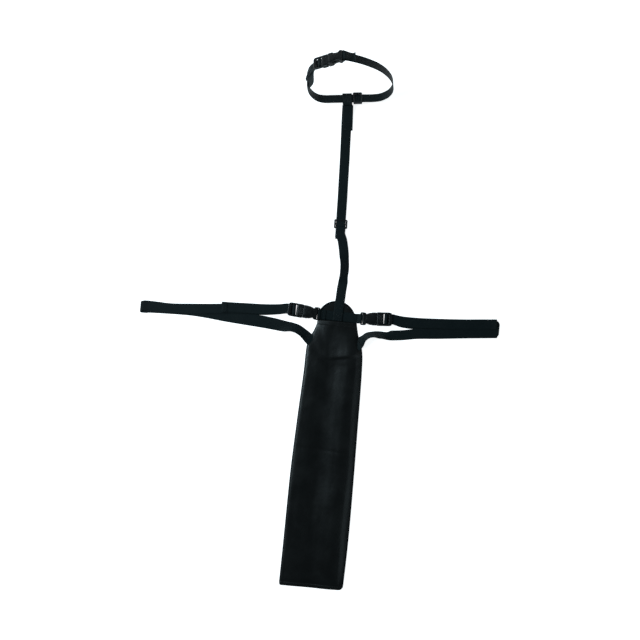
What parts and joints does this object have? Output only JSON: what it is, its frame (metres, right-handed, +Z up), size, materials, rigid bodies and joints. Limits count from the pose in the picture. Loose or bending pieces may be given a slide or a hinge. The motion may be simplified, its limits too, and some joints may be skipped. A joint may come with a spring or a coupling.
{
  "type": "tail sleeve harness",
  "caption": "Long flat fabric sleeve with an arched tongue, buckled leg loops of webbing and an adjustable back strap ending in a buckled collar.",
  "frame": {"origin": "bottom centre of the bounding box, on the ground the harness is laid on", "axes": "+Y along the sleeve and the back strap, from the sleeve's tip towards the collar; +X to the right seen from above; +Z up"},
  "size_m": [0.7424, 1.0856, 0.1362],
  "materials": {
    "sleeve_fabric": "coated satin cloth",
    "hem_fabric": "coated satin cloth",
    "binding_tape": "woven tape",
    "webbing": "woven nylon",
    "thread": "bonded thread",
    "buckle_plastic": "moulded satin"
  },
  "bodies": {
    "harness": {"sleeve_back": "sleeve_fabric", "sleeve_front": "sleeve_fabric", "mouth_hem": "hem_fabric", "tip_hem": "hem_fabric", "side_seam_binding": "binding_tape", "tongue_binding": "binding_tape", "cross_strap": "webbing", "tongue_bartack": "thread", "left_buckle_female": "buckle_plastic", "right_buckle_female": "buckle_plastic", "left_leg_lower": "webbing", "right_leg_lower": "webbing", "left_leg_bartack": "thread", "right_leg_bartack": "thread", "back_strap_lower": "webbing", "back_slider": "buckle_plastic"},
    "back_strap": {"back_strap_upper": "webbing", "back_tail_hem": "webbing", "back_loop_bartack": "thread"},
    "collar_loop": {"back_strap_loop": "webbing"},
    "collar": {"collar_band_right": "webbing", "collar_band_left": "webbing", "collar_buckle_female": "buckle_plastic"},
    "collar_slider": {"collar_slider": "buckle_plastic"},
    "collar_tab": {"collar_buckle_male": "buckle_plastic", "collar_tail": "webbing"},
    "left_loop": {"left_buckle_male": "buckle_plastic", "left_leg_upper": "webbing", "left_leg_tail": "webbing", "left_tail_hem": "webbing", "left_leg_fold": "webbing"},
    "right_loop": {"right_buckle_male": "buckle_plastic", "right_leg_upper": "webbing", "right_leg_tail": "webbing", "right_tail_hem": "webbing", "right_leg_fold": "webbing"},
    "left_prong_front": {"left_prong_front": "buckle_plastic"},
    "left_prong_back": {"left_prong_back": "buckle_plastic"},
    "right_prong_front": {"right_prong_front": "buckle_plastic"},
    "right_prong_back": {"right_prong_back": "buckle_plastic"},
    "collar_prong_front": {"collar_prong_front": "buckle_plastic"},
    "collar_prong_back": {"collar_prong_back": "buckle_plastic"}
  },
  "joints": [
    {"name": "back_length", "type": "slide", "parent": "harness", "child": "back_strap", "axis": [-0.0335, 0.9994, 0], "range_m": [-0.05, 0.015]},
    {"name": "collar_swing", "type": "hinge", "parent": "back_strap", "child": "collar_loop", "pos_m": [0.01733, 0.4591, 0.01317], "axis": [0.9936, 0.1132, 0], "range_deg": [-55, 105]},
    {"name": "collar_feed", "type": "slide", "parent": "collar_loop", "child": "collar", "axis": [0.9936, 0.1132, 0], "range_m": [0, 0.03]},
    {"name": "collar_slider_slide", "type": "slide", "parent": "collar", "child": "collar_slider", "axis": [0.9936, 0.1132, 0], "range_m": [0, 0.02]},
    {"name": "left_release", "type": "slide", "parent": "harness", "child": "left_loop", "axis": [-0.9969, 0.0785, 0], "range_m": [0, 0.024], "deforming": ["left_prong_front", "left_prong_back"]},
    {"name": "left_squeeze_front", "type": "hinge", "parent": "left_loop", "child": "left_prong_front", "pos_m": [-0.03229, 0.03538, 0.0055], "axis": [0, 0, -1], "range_deg": [0, 8], "stiffness_Nm_per_rad": 0.7},
    {"name": "left_squeeze_back", "type": "hinge", "parent": "left_loop", "child": "left_prong_back", "pos_m": [-0.03352, 0.01983, 0.0055], "axis": [0, 0, 1], "range_deg": [0, 8], "stiffness_Nm_per_rad": 0.7},
    {"name": "right_release", "type": "slide", "parent": "harness", "child": "right_loop", "axis": [0.9977, 0.068, 0], "range_m": [0, 0.024], "deforming": ["right_prong_front", "right_prong_back"]},
    {"name": "right_squeeze_front", "type": "hinge", "parent": "right_loop", "child": "right_prong_front", "pos_m": [0.11596, 0.0178, 0.0055], "axis": [0, 0, -1], "range_deg": [0, 8], "stiffness_Nm_per_rad": 0.7},
    {"name": "right_squeeze_back", "type": "hinge", "parent": "right_loop", "child": "right_prong_back", "pos_m": [0.1149, 0.03336, 0.0055], "axis": [0, 0, 1], "range_deg": [0, 8], "stiffness_Nm_per_rad": 0.7},
    {"name": "collar_release", "type": "slide", "parent": "collar", "child": "collar_tab", "axis": [-0.8959, -0.2683, -0.3541], "range_m": [0, 0.024], "deforming": ["collar_prong_front", "collar_prong_back"]},
    {"name": "collar_squeeze_front", "type": "hinge", "parent": "collar_tab", "child": "collar_prong_front", "pos_m": [-0.02736, 0.52873, 0.11454], "axis": [0.4323, -0.3423, -0.8343], "range_deg": [0, 8], "stiffness_Nm_per_rad": 0.7},
    {"name": "collar_squeeze_back", "type": "hinge", "parent": "collar_tab", "child": "collar_prong_back", "pos_m": [-0.02575, 0.51469, 0.12114], "axis": [-0.4323, 0.3423, 0.8343], "range_deg": [0, 8], "stiffness_Nm_per_rad": 0.7}
  ],
  "couplings": [
    {"joint": "left_squeeze_back", "follows": "left_squeeze_front", "ratio": 1},
    {"joint": "right_squeeze_back", "follows": "right_squeeze_front", "ratio": 1},
    {"joint": "collar_squeeze_back", "follows": "collar_squeeze_front", "ratio": 1}
  ]
}
